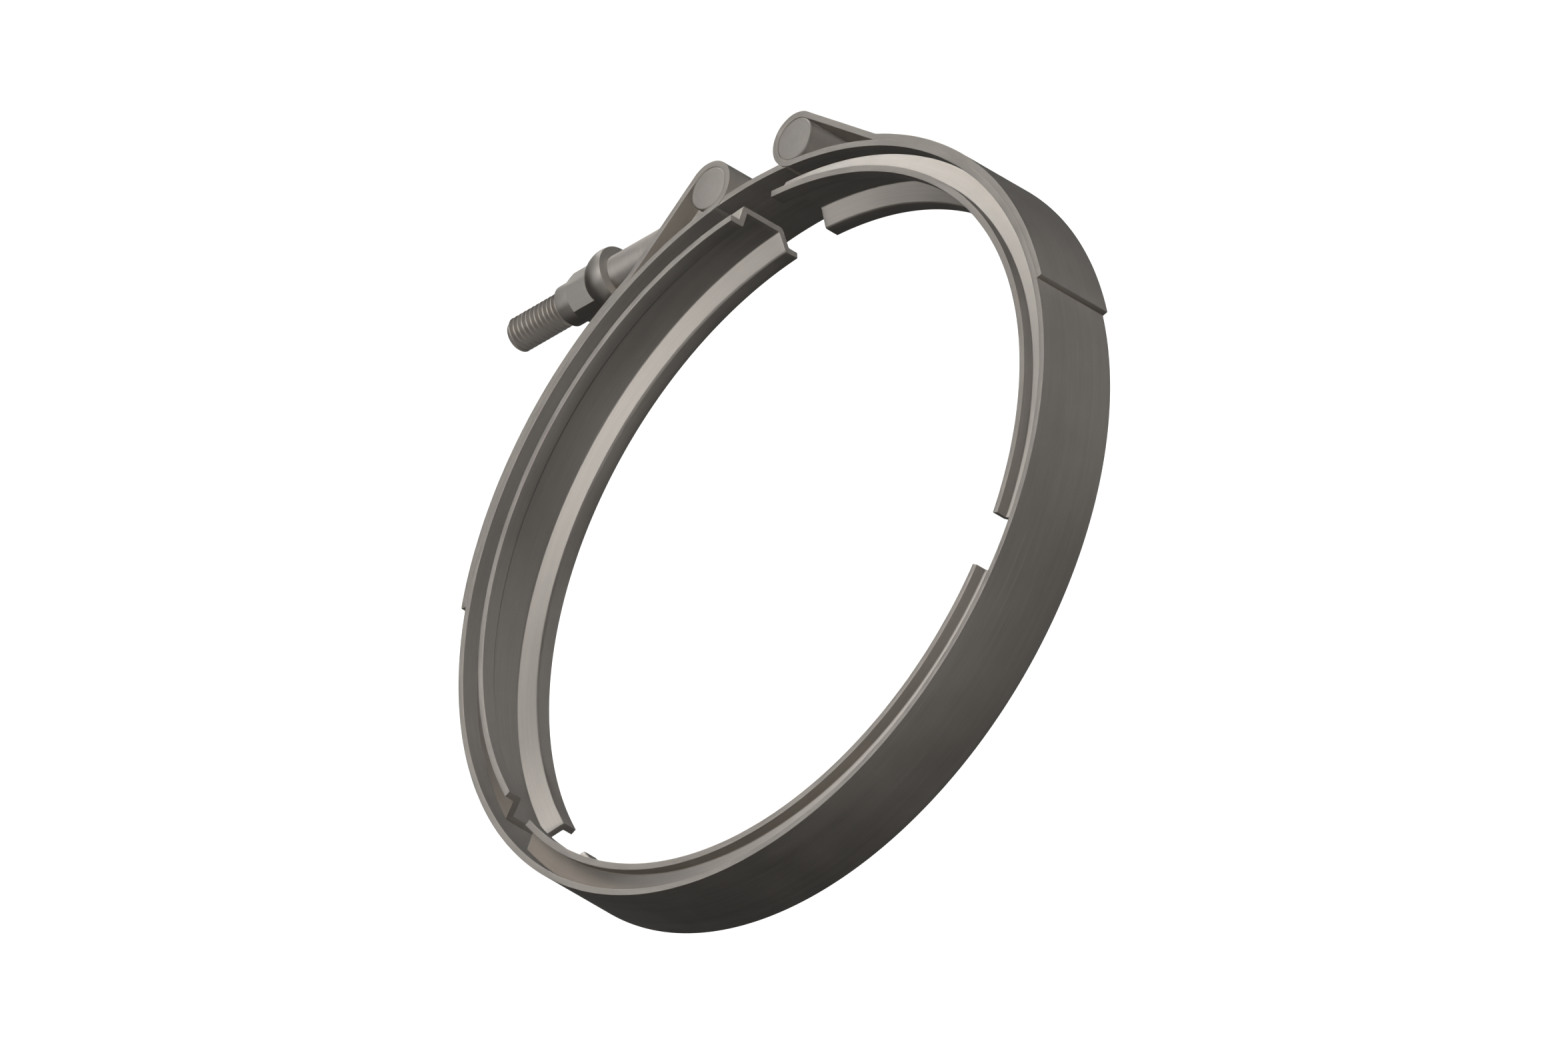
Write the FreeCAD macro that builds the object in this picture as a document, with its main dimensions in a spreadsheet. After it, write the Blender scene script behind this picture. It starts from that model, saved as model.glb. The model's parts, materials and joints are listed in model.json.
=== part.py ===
"""V-band clamp: one folded strap, three V-section retainers, a T-bolt, its latch trunnion and a lock nut.

Millimetres. The origin is the centre of the ring, halfway across the strap. The ring's axis is Z,
the bolt lies along X and the gap that the bolt closes is at +Y. The clamp lies on its -Z edge.
"""
import FreeCAD, Part
import Sketcher
import math
import os

# Driving dimensions: millimetres, and degrees for angles
DIMENSIONS = {
    # Strap: the outer band, its folded ears and its tails
    "band_radius": 86.7,
    "strap_thickness": 1.4,
    "strap_width": 20.0,
    "loop_spacing": 25.9,
    "ear_slope": 38.1,
    "ear_bend_radius": 4.0,
    "lap_gap": 0.1,
    "tail_angle": 12.8,
    "bridge_gap": 0.2,
    # Retainers: roll-formed V section
    "sheet_thickness": 1.5,
    "groove_depth": 4.5,
    "groove_floor_width": 9.6,
    "groove_half_angle": 20.0,
    "bend_flat": 0.45,
    "retainer_gap_angle": 8.5,
    # Trunnions: the cross barrels that sit in the strap's loops
    "barrel_radius": 5.0,
    "barrel_clearance": 0.08,
    "barrel_end_gap": 0.1,
    "barrel_chamfer": 0.25,
    "tube_radius": 4.8,
    "tube_length": 35.7,
    "tube_chamfer": 0.15,
    "bore_clearance": 0.2,
    "opening_clearance": 0.35,
    "window_start_angle": 10.0,
    "window_corner_radius": 3.0,
    # T-bolt rod
    "rod_radius": 3.9,
    "rod_length": 92.95,
    "rod_chamfer": 0.3,
    # Flanged lock nut
    "nut_gap": 0.1,
    "nut_clearance": 0.05,
    "flange_ball_radius": 7.1,
    "flange_ball_offset": 1.45,
    "nut_across_flats": 10.2,
    "hex_end": 12.05,
    "hex_chamfer_angle": 30.0,
    "collar_radius": 4.72,
    "collar_length": 4.1,
    "collar_chamfer": 0.4,
}

# Places and sizes that follow from the driving dimensions, as sheet expressions
LOOP_X = "(Dims.loop_spacing / 2)"
RING_OUTER = "(Dims.band_radius + Dims.strap_thickness)"
LAP_RADIUS = f"({RING_OUTER} + Dims.lap_gap)"
LOOP_INNER = "(Dims.barrel_radius + Dims.barrel_clearance)"
LOOP_OUTER = f"({LOOP_INNER} + Dims.strap_thickness)"
LOOP_Y = f"sqrt(({RING_OUTER} + {LOOP_INNER})^2 - {LOOP_X}^2)"
HALF_WIDTH = "(Dims.strap_width / 2)"
BARREL_LENGTH = "(Dims.strap_width - 2 * Dims.barrel_end_gap)"
NUT_CORNER = "(Dims.nut_across_flats / 2 / cos(30))"

# Room that a cutting shape keeps beyond the walls that it cuts
OVERCUT = 1.0

# Two lengths, or two unit directions, that differ by less than this count as the same
NEAR = 1e-4

# Retainers and the angles, in degrees, that their middles face
RETAINER_ANGLES = {"retainer_right": 30.0, "retainer_left": 150.0, "retainer_bottom": 270.0}

doc = FreeCAD.newDocument("v_band_clamp")


def make_sheet():
    """The spreadsheet of driving dimensions: a name, a value and an alias in each row."""
    sheet = doc.addObject("Spreadsheet::Sheet", "Dims")
    for row, (name, value) in enumerate(DIMENSIONS.items(), start=1):
        sheet.set(f"A{row}", name)
        sheet.set(f"B{row}", str(value))
        sheet.setAlias(f"B{row}", name)
    doc.recompute()
    return sheet


dims = make_sheet()


def value(expression):
    """The number that a sheet expression stands for."""
    return float(dims.evalExpression(str(expression)))


def place(item, x="0", y="0", z="0"):
    """Bind the place of an object to sheet expressions."""
    for axis, expression in zip("xyz", (x, y, z)):
        item.setExpression(f".Placement.Base.{axis}", str(expression))


def new_body(name):
    """A body whose label is the name of its part."""
    body = doc.addObject("PartDesign::Body", name)
    body.Label = name
    return body


def new_sketch(body, name, plane):
    """A sketch on one of the body's own origin planes."""
    sketch = body.newObject("Sketcher::SketchObject", name)
    role = f"{plane}_Plane"
    origin_plane = next(item for item in body.Origin.OriginFeatures if item.Role == role)
    sketch.AttachmentSupport = [(origin_plane, "")]
    sketch.MapMode = "FlatFace"
    return sketch


def bind(sketch, constraint, expression):
    """Add a sketch constraint whose size follows a sheet expression."""
    index = sketch.addConstraint(constraint)
    name = f"size_{index}"
    sketch.renameConstraint(index, name)
    sketch.setExpression(f"Constraints.{name}", str(expression))


def pin_point(sketch, geometry, point, x, y):
    """Hold a sketch point at a place given by two sheet expressions."""
    bind(sketch, Sketcher.Constraint("DistanceX", -1, 1, geometry, point, value(x)), x)
    bind(sketch, Sketcher.Constraint("DistanceY", -1, 1, geometry, point, value(y)), y)


def draw_polygon(sketch, corners):
    """A closed outline of straight lines through corners given as pairs of expressions."""
    points = [FreeCAD.Vector(value(x), value(y), 0) for x, y in corners]
    for start, end in zip(points, points[1:] + points[:1]):
        sketch.addGeometry(Part.LineSegment(start, end))
    for index, (x, y) in enumerate(corners):
        before = (index - 1) % len(corners)
        sketch.addConstraint(Sketcher.Constraint("Coincident", before, 2, index, 1))
        pin_point(sketch, index, 1, x, y)


def draw_circle(sketch, radius, x="0", y="0"):
    """A circle with its centre and radius bound to expressions."""
    centre = FreeCAD.Vector(value(x), value(y), 0)
    circle = Part.Circle(centre, FreeCAD.Vector(0, 0, 1), value(radius))
    index = sketch.addGeometry(circle)
    pin_point(sketch, index, 3, x, y)
    bind(sketch, Sketcher.Constraint("Radius", index, value(radius)), radius)


def pad(body, sketch, name, length, symmetric=False, backwards=False):
    """Pad a sketch by an expression's length."""
    feature = body.newObject("PartDesign::Pad", name)
    feature.Profile = sketch
    feature.SideType = "Symmetric" if symmetric else "One side"
    feature.Reversed = backwards
    feature.setExpression("Length", str(length))
    return feature


def revolve(body, sketch, name, axis, kind="PartDesign::Revolution"):
    """Turn a sketch a full circle about one of its own axes, to add or to cut."""
    feature = body.newObject(kind, name)
    feature.Profile = sketch
    feature.ReferenceAxis = (sketch, [axis])
    feature.Angle = 360.0
    return feature


def dress_edges(body, kind, name, base, chosen, size_name, size):
    """Fillet or chamfer the edges of the base feature that the chosen test accepts."""
    doc.recompute()
    names = [f"Edge{i}" for i, edge in enumerate(base.Shape.Edges, start=1) if chosen(edge)]
    if not names:
        raise ValueError(f"{body.Label}: no edges found for {name}")
    feature = body.newObject(kind, name)
    feature.Base = (base, names)
    feature.setExpression(size_name, str(size))
    return feature


def is_circle(edge, radius):
    """Whether an edge is a circle, or part of one, of the given radius."""
    return isinstance(edge.Curve, Part.Circle) and abs(edge.Curve.Radius - radius) < NEAR


def strap_side_line():
    """Half of the strap seen from the front, as the line of the side that touches the barrel.

    It runs from the bottom of the ring up its outside, round the inside of the loop, down the
    underside of the ear and along the lap, where the tail is welded to the outside of the ring.
    """
    ring = value(RING_OUTER)
    loop = value(LOOP_INNER)
    lap = value(LAP_RADIUS)
    bend = value("Dims.ear_bend_radius")
    slope = math.radians(value("Dims.ear_slope"))
    tail = math.radians(value("Dims.tail_angle"))
    up = FreeCAD.Vector(0, 0, 1)
    centre = FreeCAD.Vector(value(LOOP_X), value(LOOP_Y), 0)
    meet = math.atan2(centre.y, centre.x)
    normal = FreeCAD.Vector(math.sin(slope), math.cos(slope), 0)
    along = FreeCAD.Vector(math.cos(slope), -math.sin(slope), 0)
    ear_top = centre + normal * loop
    base = ear_top + normal * bend
    down = base.dot(along)
    run = -down - math.sqrt(down**2 - base.dot(base) + (lap + bend) ** 2)
    bend_centre = base + along * run
    lap_start = math.atan2(bend_centre.y, bend_centre.x)

    sketch = doc.addObject("Sketcher::SketchObject", "strap_side_line")
    origin = FreeCAD.Vector(0, 0, 0)
    sketch.addGeometry(Part.ArcOfCircle(Part.Circle(origin, up, ring), -math.pi / 2, meet))
    sketch.addGeometry(
        Part.ArcOfCircle(Part.Circle(centre, up, loop), math.pi / 2 - slope, meet + math.pi)
    )
    sketch.addGeometry(Part.LineSegment(ear_top, ear_top + along * run))
    sketch.addGeometry(
        Part.ArcOfCircle(Part.Circle(bend_centre, up, bend), -math.pi / 2 - slope, lap_start - math.pi)
    )
    sketch.addGeometry(Part.ArcOfCircle(Part.Circle(origin, up, lap), tail, lap_start))
    ring_arc, loop_arc, ear_line, bend_arc, lap_arc = range(5)

    for centred in (ring_arc, lap_arc):
        sketch.addConstraint(Sketcher.Constraint("Coincident", centred, 3, -1, 1))
    sketch.addConstraint(Sketcher.Constraint("PointOnObject", ring_arc, 1, -2))
    sketch.addConstraint(Sketcher.Constraint("Tangent", ring_arc, 2, loop_arc, 2))
    sketch.addConstraint(Sketcher.Constraint("Tangent", loop_arc, 1, ear_line, 1))
    sketch.addConstraint(Sketcher.Constraint("Tangent", ear_line, 2, bend_arc, 1))
    sketch.addConstraint(Sketcher.Constraint("Tangent", bend_arc, 2, lap_arc, 2))
    bind(sketch, Sketcher.Constraint("Radius", ring_arc, ring), RING_OUTER)
    bind(sketch, Sketcher.Constraint("Radius", loop_arc, loop), LOOP_INNER)
    bind(sketch, Sketcher.Constraint("Radius", bend_arc, bend), "Dims.ear_bend_radius")
    bind(sketch, Sketcher.Constraint("Radius", lap_arc, lap), LAP_RADIUS)
    bind(sketch, Sketcher.Constraint("DistanceX", -1, 1, loop_arc, 3, centre.x), LOOP_X)
    bind(sketch, Sketcher.Constraint("Angle", ear_line, -slope), "-1deg * Dims.ear_slope")
    tail_height = f"{LAP_RADIUS} * sin(Dims.tail_angle)"
    bind(sketch, Sketcher.Constraint("DistanceY", -1, 1, lap_arc, 1, value(tail_height)), tail_height)
    return sketch


def make_bolt_hole():
    """The round hole through both loops, on the gap side, that the bolt's rod passes."""
    hole = doc.addObject("Part::Cylinder", "bolt_hole")
    hole.Placement.Rotation = FreeCAD.Rotation(FreeCAD.Vector(0, 1, 0), 90)
    hole.setExpression("Radius", "Dims.rod_radius + Dims.opening_clearance")
    hole.setExpression("Height", "Dims.loop_spacing")
    place(hole, f"-1 * {LOOP_X}", LOOP_Y)
    return hole


def make_tube_window():
    """The punched window in the left ear that the trunnion's tube passes.

    Its two end walls stand square to the strap: one on the loop, a little past its top, and one
    on the ear, just below where the tube comes out.
    """
    body = new_body("tube_window")
    sketch = new_sketch(body, "window_side", "XY")
    room = "(Dims.tube_radius + Dims.opening_clearance)"
    outside = f"({LOOP_OUTER} + {OVERCUT})"
    inside = f"({LOOP_INNER} - {OVERCUT})"
    sine = "sin(Dims.ear_slope)"
    cosine = "cos(Dims.ear_slope)"
    reach = f"(({LOOP_OUTER} * {cosine} + {room}) / {sine})"
    draw_polygon(
        sketch,
        [
            ("0", "0"),
            (f"-{outside} * sin(Dims.window_start_angle)", f"{outside} * cos(Dims.window_start_angle)"),
            (f"-{outside} * {sine}", f"{outside} * {cosine}"),
            (f"-{outside} * {sine} - {reach} * {cosine}", f"{outside} * {cosine} - {reach} * {sine}"),
            (f"-{inside} * {sine} - {reach} * {cosine}", f"{inside} * {cosine} - {reach} * {sine}"),
        ],
    )
    block = pad(body, sketch, "window_block", f"2 * {room}", symmetric=True)
    start = math.radians(90 + value("Dims.window_start_angle"))
    end = math.radians(90 + value("Dims.ear_slope"))
    walls = [FreeCAD.Vector(math.cos(a), math.sin(a), 0) for a in (start, end)]

    def is_corner(edge):
        direction = edge.tangentAt(edge.FirstParameter)
        on_start = direction.cross(walls[0]).Length < NEAR
        on_end = direction.cross(walls[1]).Length < NEAR and edge.CenterOfMass.y < 0
        return on_start or on_end

    corner_radius = "Dims.window_corner_radius"
    dress_edges(body, "PartDesign::Fillet", "window_corners", block, is_corner, "Radius", corner_radius)
    place(body, f"-1 * {LOOP_X}", LOOP_Y)
    return body


def make_band():
    """The strap: one strip folded back on itself at each end into a loop, an ear and a tail."""
    line = strap_side_line()
    profile = doc.addObject("Part::Offset2D", "strap_profile")
    profile.Source = line
    profile.Mode = "Skin"
    profile.Fill = True
    profile.setExpression("Value", "-1 * Dims.strap_thickness")
    half = doc.addObject("Part::Extrusion", "strap_half")
    half.Base = profile
    half.DirMode = "Custom"
    half.Dir = FreeCAD.Vector(0, 0, 1)
    half.Solid = True
    half.Symmetric = True
    half.setExpression("LengthFwd", "Dims.strap_width")
    other_half = doc.addObject("Part::Mirroring", "strap_other_half")
    other_half.Source = half
    other_half.Normal = FreeCAD.Vector(1, 0, 0)
    strap = doc.addObject("Part::Fuse", "folded_strap")
    strap.Base = half
    strap.Tool = other_half
    strap.Refine = True
    drilled = doc.addObject("Part::Cut", "drilled_strap")
    drilled.Base = strap
    drilled.Tool = make_bolt_hole()
    band = doc.addObject("Part::Cut", "band")
    band.Base = drilled
    band.Tool = make_tube_window()
    band.Label = "band"
    return band


def make_gap_bridge():
    """The strip that bridges the gap between the two loops, resting on the retainers' backs."""
    body = new_body("gap_bridge")
    outer = new_sketch(body, "bridge_outer", "XY")
    draw_circle(outer, RING_OUTER)
    draw_circle(outer, "Dims.band_radius")
    pad(body, outer, "bridge_ring", "Dims.strap_width", symmetric=True)
    keep = new_sketch(body, "bridge_trim", "XY")
    far = f"({RING_OUTER} + {OVERCUT})"
    draw_polygon(
        keep,
        [
            ("0", "0"),
            (LOOP_X, LOOP_Y),
            (far, LOOP_Y),
            (far, f"-1 * {far}"),
            (f"-1 * {far}", f"-1 * {far}"),
            (f"-1 * {far}", LOOP_Y),
            (f"-1 * {LOOP_X}", LOOP_Y),
        ],
    )
    trim = body.newObject("PartDesign::Pocket", "bridge_sector")
    trim.Profile = keep
    trim.SideType = "Symmetric"
    trim.setExpression("Length", f"Dims.strap_width + {OVERCUT}")
    ends = new_sketch(body, "bridge_ends", "XY")
    for side in ("1", "-1"):
        draw_circle(ends, f"{LOOP_OUTER} + Dims.bridge_gap", f"{side} * {LOOP_X}", LOOP_Y)
    hollow = body.newObject("PartDesign::Pocket", "bridge_hollow_ends")
    hollow.Profile = ends
    hollow.SideType = "Symmetric"
    hollow.setExpression("Length", f"Dims.strap_width + {OVERCUT}")
    return body


def make_retainer(name, facing):
    """One V-section retainer, turned about the ring's axis to face the given direction."""
    body = new_body(name)
    crown = "Dims.band_radius"
    floor = f"({crown} - Dims.sheet_thickness)"
    foot_inner = f"({floor} - Dims.groove_depth)"
    foot_outer = f"({foot_inner} + Dims.sheet_thickness)"
    lean = "tan(Dims.groove_half_angle)"
    floor_half = "(Dims.groove_floor_width / 2)"
    crown_half = f"({floor_half} + Dims.sheet_thickness * tan((90 - Dims.groove_half_angle) / 2))"
    foot_inner_half = f"({floor_half} + Dims.groove_depth * {lean})"
    foot_outer_half = f"({crown_half} + ({crown} - {foot_outer}) * {lean})"
    upper = [
        (crown, crown_half),
        (foot_outer, foot_outer_half),
        (foot_outer, HALF_WIDTH),
        (foot_inner, HALF_WIDTH),
        (foot_inner, foot_inner_half),
        (floor, floor_half),
    ]
    lower = [(radius, f"-1 * {height}") for radius, height in reversed(upper)]
    section = new_sketch(body, "v_section", "XZ")
    draw_polygon(section, upper + lower)
    turned = revolve(body, section, "rolled_section", "V_Axis")
    turned.Midplane = True
    turned.setExpression("Angle", f"360 / {len(RETAINER_ANGLES)} - Dims.retainer_gap_angle")

    bends = [(crown, crown_half), (foot_inner, foot_inner_half)]
    places = [(value(radius), value(height)) for radius, height in bends]

    def is_outer_bend(edge):
        height = abs(edge.CenterOfMass.z)
        return any(is_circle(edge, bend[0]) and abs(height - bend[1]) < NEAR for bend in places)

    dress_edges(
        body, "PartDesign::Chamfer", "bend_flats", turned, is_outer_bend, "Size", "Dims.bend_flat"
    )
    body.Placement.Rotation = FreeCAD.Rotation(FreeCAD.Vector(0, 0, 1), facing)
    return body


def start_trunnion(name, x):
    """A body that starts with the barrel that turns in one of the strap's loops."""
    body = new_body(name)
    barrel_end = new_sketch(body, "barrel_end", "XY")
    draw_circle(barrel_end, "Dims.barrel_radius")
    barrel = pad(body, barrel_end, "barrel", BARREL_LENGTH, symmetric=True)
    radius = value("Dims.barrel_radius")
    dress_edges(
        body,
        "PartDesign::Chamfer",
        "barrel_edges",
        barrel,
        lambda edge: is_circle(edge, radius),
        "Size",
        "Dims.barrel_chamfer",
    )
    place(body, x, LOOP_Y)
    return body


def add_stem(body, name, radius, length, chamfer):
    """A round stem from the barrel's axis towards -X, with a chamfered end."""
    end = new_sketch(body, f"{name}_end", "YZ")
    draw_circle(end, radius)
    stem = pad(body, end, name, length, backwards=True)
    size = value(radius)
    tip = -value(length)
    dress_edges(
        body,
        "PartDesign::Chamfer",
        f"{name}_chamfer",
        stem,
        lambda edge: is_circle(edge, size) and abs(edge.CenterOfMass.x - tip) < NEAR,
        "Size",
        chamfer,
    )


def bore_along_x(body, name, radius):
    """Cut a round bore right through the body, along X."""
    end = new_sketch(body, f"{name}_end", "YZ")
    draw_circle(end, radius)
    bore = body.newObject("PartDesign::Pocket", name)
    bore.Profile = end
    bore.Type = "ThroughAll"
    bore.SideType = "Symmetric"


def make_t_bolt():
    """The T-bolt: a barrel in the right loop and the rod that the nut runs on."""
    body = start_trunnion("t_bolt", LOOP_X)
    add_stem(body, "rod", "Dims.rod_radius", "Dims.rod_length", "Dims.rod_chamfer")
    return body


def make_latch_trunnion():
    """The latch trunnion: a barrel in the left loop with the tube that the nut presses on."""
    body = start_trunnion("latch_trunnion", f"-1 * {LOOP_X}")
    add_stem(body, "tube", "Dims.tube_radius", "Dims.tube_length", "Dims.tube_chamfer")
    bore_along_x(body, "bore", "Dims.rod_radius + Dims.bore_clearance")
    return body


def turn_nut_profile(body):
    """Revolve the domed flange, flat on the tube's side, and the plain locking collar."""
    ball = "Dims.flange_ball_radius"
    offset = "Dims.flange_ball_offset"
    rim_radius = f"sqrt({ball}^2 - {offset}^2)"
    collar_meet = f"(-1 * {offset} - sqrt({ball}^2 - Dims.collar_radius^2))"
    nut_end = "(-1 * Dims.hex_end - Dims.collar_length)"
    centre = FreeCAD.Vector(-value(offset), 0, 0)
    start = FreeCAD.Vector(0, 0, 0)
    rim = FreeCAD.Vector(0, value(rim_radius), 0)
    shoulder = FreeCAD.Vector(value(collar_meet), value("Dims.collar_radius"), 0)
    corner = FreeCAD.Vector(value(nut_end), value("Dims.collar_radius"), 0)
    finish = FreeCAD.Vector(value(nut_end), 0, 0)

    profile = new_sketch(body, "turned_profile", "XY")
    for line_start, line_end in ((start, rim), (shoulder, corner), (corner, finish), (finish, start)):
        profile.addGeometry(Part.LineSegment(line_start, line_end))
    angles = [math.atan2((point - centre).y, (point - centre).x) for point in (rim, shoulder)]
    up = FreeCAD.Vector(0, 0, 1)
    profile.addGeometry(Part.ArcOfCircle(Part.Circle(centre, up, value(ball)), *angles))
    face, collar, end_face, axis, dome = range(5)
    for join in (
        (axis, 2, face, 1),
        (face, 2, dome, 1),
        (dome, 2, collar, 1),
        (collar, 2, end_face, 1),
        (end_face, 2, axis, 1),
        (face, 1, -1, 1),
    ):
        profile.addConstraint(Sketcher.Constraint("Coincident", *join))
    for upright in (face, end_face):
        profile.addConstraint(Sketcher.Constraint("Vertical", upright))
    for level in (collar, axis):
        profile.addConstraint(Sketcher.Constraint("Horizontal", level))
    pin_point(profile, dome, 3, f"-1 * {offset}", "0")
    bind(profile, Sketcher.Constraint("Radius", dome, value(ball)), ball)
    pin_point(profile, collar, 2, nut_end, "Dims.collar_radius")
    turned = revolve(body, profile, "turned_body", "H_Axis")

    def is_collar_edge(edge):
        return is_circle(edge, corner.y) and abs(edge.CenterOfMass.x - corner.x) < NEAR

    dress_edges(
        body, "PartDesign::Chamfer", "collar_edge", turned, is_collar_edge, "Size", "Dims.collar_chamfer"
    )


def add_hexagon(body):
    """The hexagon, with two flats square to Y, and the turned chamfer on its outer corners."""
    outline = new_sketch(body, "hexagon", "YZ")
    corners = [(f"{NUT_CORNER} * cos({a})", f"{NUT_CORNER} * sin({a})") for a in range(30, 390, 60)]
    draw_polygon(outline, corners)
    pad(body, outline, "hex_body", "Dims.hex_end", backwards=True)
    beyond = f"({NUT_CORNER} + {OVERCUT})"
    slant = f"(({beyond} - Dims.nut_across_flats / 2) * tan(Dims.hex_chamfer_angle))"
    chamfer = new_sketch(body, "hex_chamfer", "XY")
    draw_polygon(
        chamfer,
        [
            ("-1 * Dims.hex_end", "Dims.nut_across_flats / 2"),
            (f"-1 * Dims.hex_end + {slant}", beyond),
            ("-1 * Dims.hex_end", beyond),
        ],
    )
    revolve(body, chamfer, "hex_corners", "H_Axis", kind="PartDesign::Groove")


def make_lock_nut():
    """The flanged lock nut, which runs on the rod and presses on the end of the tube."""
    body = new_body("lock_nut")
    turn_nut_profile(body)
    add_hexagon(body)
    bore_along_x(body, "nut_bore", "Dims.rod_radius + Dims.nut_clearance")
    place(body, f"-1 * {LOOP_X} - Dims.tube_length - Dims.nut_gap", LOOP_Y)
    return body


def check_document():
    """Stop if any object of the document failed."""
    for item in doc.Objects:
        if {"Invalid", "Error"} & set(item.State):
            raise RuntimeError(f"{item.Label} failed: {item.State}")


def check_shape(item):
    """Stop unless an object's shape is one valid solid."""
    shape = item.Shape
    if shape.isNull() or not shape.isValid() or len(shape.Solids) != 1:
        raise RuntimeError(f"{item.Label} is not one valid solid")


parts = [make_band(), make_gap_bridge()]
parts += [make_retainer(name, facing) for name, facing in RETAINER_ANGLES.items()]
parts += [make_t_bolt(), make_latch_trunnion(), make_lock_nut()]
doc.recompute()
check_document()

os.makedirs("parts", exist_ok=True)
for part in parts:
    check_shape(part)
    part.Shape.exportStep(f"parts/{part.Label}.step")
    print(f"{part.Label}: {part.Shape.Volume:.1f} mm3")
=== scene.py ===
"""Looks of the V-band clamp: each piece's final mesh and steel, the floor, the light and the camera.

Sizes here are millimetres, and build() turns them into metres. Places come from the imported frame:
+Z is the ring's axis, the bolt lies along X and the gap that it closes is at +Y.
"""
import bpy
import bmesh
import json
import math
from mathutils import Matrix, Vector


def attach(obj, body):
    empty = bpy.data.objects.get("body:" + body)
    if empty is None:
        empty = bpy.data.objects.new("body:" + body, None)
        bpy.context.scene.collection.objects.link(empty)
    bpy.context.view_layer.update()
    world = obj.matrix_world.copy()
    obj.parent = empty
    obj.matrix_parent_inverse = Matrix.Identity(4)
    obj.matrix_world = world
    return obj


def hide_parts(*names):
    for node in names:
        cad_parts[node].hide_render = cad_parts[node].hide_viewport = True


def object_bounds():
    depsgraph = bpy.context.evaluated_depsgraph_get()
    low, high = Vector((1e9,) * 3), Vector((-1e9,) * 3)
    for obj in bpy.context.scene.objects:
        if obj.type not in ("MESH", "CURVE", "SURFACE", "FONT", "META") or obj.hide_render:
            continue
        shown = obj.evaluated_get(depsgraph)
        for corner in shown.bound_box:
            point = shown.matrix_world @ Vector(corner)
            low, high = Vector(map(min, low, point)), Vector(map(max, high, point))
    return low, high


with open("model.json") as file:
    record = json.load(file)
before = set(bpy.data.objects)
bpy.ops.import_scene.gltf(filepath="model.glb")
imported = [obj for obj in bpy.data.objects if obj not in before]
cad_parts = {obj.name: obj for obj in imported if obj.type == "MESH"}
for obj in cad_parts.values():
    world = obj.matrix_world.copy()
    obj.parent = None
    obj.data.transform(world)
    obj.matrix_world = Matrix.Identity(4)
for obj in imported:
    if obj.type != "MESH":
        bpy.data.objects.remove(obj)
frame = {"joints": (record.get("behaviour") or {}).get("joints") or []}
cad_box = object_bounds()

MM = 0.001
JOINTS = {joint["name"]: joint for joint in frame["joints"]}
X_AXIS = Vector((1, 0, 0))
Y_AXIS = Vector((0, 1, 0))
Z_AXIS = Vector((0, 0, 1))
CENTRE = Vector((0, 0))

# Strap: places of its loops from the frame, and the sheet that it is folded from
LOOP_X = JOINTS["bolt_pivot"]["pos_m"][0] / MM
LOOP_Y = JOINTS["bolt_pivot"]["pos_m"][1] / MM
HALF_WIDTH = cad_box[1].z / MM
STRAP = 1.4
BAND_RADIUS = 86.7
RING_OUTER = BAND_RADIUS + STRAP
LOOP_INNER = math.hypot(LOOP_X, LOOP_Y) - RING_OUTER
LAP_GAP = 0.012
LAP_RADIUS = RING_OUTER + LAP_GAP
EAR_SLOPE = math.radians(38.1)
EAR_BEND = 4.0
TAIL_ANGLE = math.radians(12.8)

# Rounds on the sheet's edges
SHEET_EDGE = 0.06
END_EDGE = 0.045

# Sides up to this width are cut edges, where the grain is so many times wider and so nearly even
CUT_EDGE = 1.6
CUT_EVENNESS = 12

# Openings in the strap for the rod and for the tube
BOLT_HOLE_RADIUS = 4.25
WINDOW_HALF = 5.15
WINDOW_START = math.radians(10)
WINDOW_CORNER = 3.0
WINDOW_CORNER_STEPS = 8
ROUND_BEVEL = 0.5

# How far a cutting tool reaches beyond what it cuts
OVERCUT = 1.0

# Bridge under the bolt
BRIDGE_GAP = 0.2
BRIDGE_END_RADIUS = LOOP_INNER + STRAP + BRIDGE_GAP
BRIDGE_END_STEPS = 5
BRIDGE_EDGE = 0.05

# Retainers: the V section as depths below the strap, and the angle that each one spans
RETAINERS = {"retainer_right": 30, "retainer_left": 150, "retainer_bottom": 270}
RETAINER_SPAN = math.radians(111.5)
SHEET = 1.5
GROOVE_DEPTH = 4.5
GROOVE_FLOOR_HALF = 4.8
GROOVE_ANGLE = math.radians(20)
OUTER_BEND = 0.6
INNER_BEND = 0.3

# Trunnions, their rod and tube
BARREL_RADIUS = 5.0
BARREL_INSET = 0.1
BARREL_HALF = HALF_WIDTH - BARREL_INSET
BARREL_CHAMFER = 0.25
TUBE_RADIUS = 4.8
TUBE_LENGTH = 35.7
TUBE_CHAMFER = 0.15
TUBE_BORE = 4.1
ROD_RADIUS = 3.9
ROD_LENGTH = 92.95
ROD_CHAMFER = 0.3
TURNED_EDGE = 0.06
AXIS_RADIUS = 0.02

# Thread: M8, cut from the rod's tip to a run-out inside the tube
PITCH = 1.25
THREAD_DEPTH = 0.72
THREAD_LENGTH = 40.0
THREAD_RUN_OUT = 2.0

# The thread's form over one turn, as shares of its pitch and depth, and its spare turns at each end
THREAD_FORM = [(0, 0), (0.125, 0), (0.4375, 1), (0.5625, 1.06), (0.6875, 1)]
THREAD_SPARE = 1.5

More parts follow.
